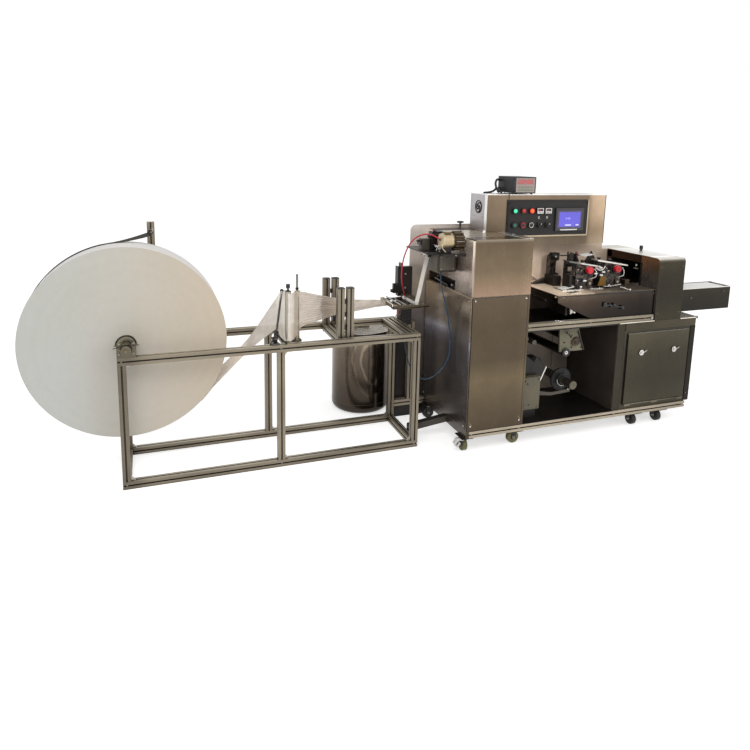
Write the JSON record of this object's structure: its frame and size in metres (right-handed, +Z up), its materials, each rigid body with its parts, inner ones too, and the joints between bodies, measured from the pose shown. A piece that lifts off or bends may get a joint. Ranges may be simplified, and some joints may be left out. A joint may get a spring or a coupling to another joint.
{
  "type": "wet wipe packing machine",
  "caption": "Packing machine for wet wipes: open unwind frame with a braked nonwoven roll and web turn bars, a liquid drum, a fold unit and a stainless wrapper with outfeed conveyor.",
  "frame": {"origin": "on the floor, under the centre of the machine's bounding box", "axes": "+X along the line from the nonwoven roll to the outfeed conveyor, +Y away from the operator, +Z up"},
  "size_m": [4.379, 1.117, 1.607],
  "materials": {
    "aluminium_profile": "satin",
    "nonwoven": "matt",
    "stainless": "brushed",
    "machined_steel": "smooth",
    "dark_steel": "satin",
    "black_plastic": "matt",
    "strap": "woven",
    "drum_steel": "brushed",
    "caster_rubber": "matt",
    "zinc": "smooth",
    "panel": "satin",
    "grey_paint": "satin",
    "motor_tan": "satin",
    "belt": "matt",
    "core_card": "matt",
    "red_pvc": "gloss",
    "blue_pvc": "gloss",
    "red_knob": "gloss"
  },
  "bodies": {
    "machine": {"base_cross_rails": "aluminium_profile", "base_long_rails": "aluminium_profile", "bay_box": "grey_paint", "blue_hose": "blue_pvc", "brake_post": "aluminium_profile", "brake_strap": "strap", "cabinet_door": "stainless", "caster_forks": "zinc", "caster_wheels": "caster_rubber", "column_cover": "stainless", "column_housing": "stainless", "control_box": "stainless", "control_panel": "panel", "conveyor_belt": "belt", "conveyor_frame": "stainless", "conveyor_rollers": "machined_steel", "counter_box": "grey_paint", "deck_plates": "stainless", "discharge_hood": "stainless", "door_latches": "zinc", "drum_lid": "drum_steel", "fold_arms": "dark_steel", "fold_brackets": "dark_steel", "fold_gearbox": "grey_paint", "fold_motor": "motor_tan", "fold_rollers": "machined_steel", "fold_shelf": "machined_steel", "fold_wheel": "motor_tan", "folded_strip": "nonwoven", "frame_tie": "aluminium_profile", "guide_bracket": "dark_steel", "guide_rollers": "machined_steel", "guide_stand_posts": "aluminium_profile", "liquid_drum": "drum_steel", "nonwoven_web": "nonwoven", "panel_buttons": "red_knob", "pump_box": "dark_steel", "rear_housing": "stainless", "rear_plate": "stainless", "red_hose": "red_pvc", "right_cabinet": "stainless", "roll_bearings": "machined_steel", "sealing_frames": "dark_steel", "sealing_knobs": "red_knob", "sealing_rollers": "machined_steel", "spindle_bearing": "machined_steel", "stand_caps": "black_plastic", "table_apron": "stainless", "turn_bar_knobs": "black_plastic", "turn_bars": "dark_steel", "unwind_cross_rails": "aluminium_profile", "unwind_long_rails": "aluminium_profile", "unwind_posts": "aluminium_profile", "upper_rail": "aluminium_profile", "work_table": "stainless"},
    "roll": {"nonwoven_roll": "nonwoven", "roll_core": "core_card", "roll_shaft": "machined_steel"},
    "film_spindle": {"spindle_shaft": "machined_steel", "spindle_flange": "black_plastic"}
  },
  "joints": [
    {"name": "roll_turn", "type": "hinge", "parent": "machine", "child": "roll", "pos_m": [-1.6855, -0.1545, 0.742], "axis": [0, -1, 0], "continuous": true},
    {"name": "spindle_turn", "type": "hinge", "parent": "machine", "child": "film_spindle", "pos_m": [0.8755, -0.3095, 0.3401], "axis": [0, -1, 0], "continuous": true}
  ]
}
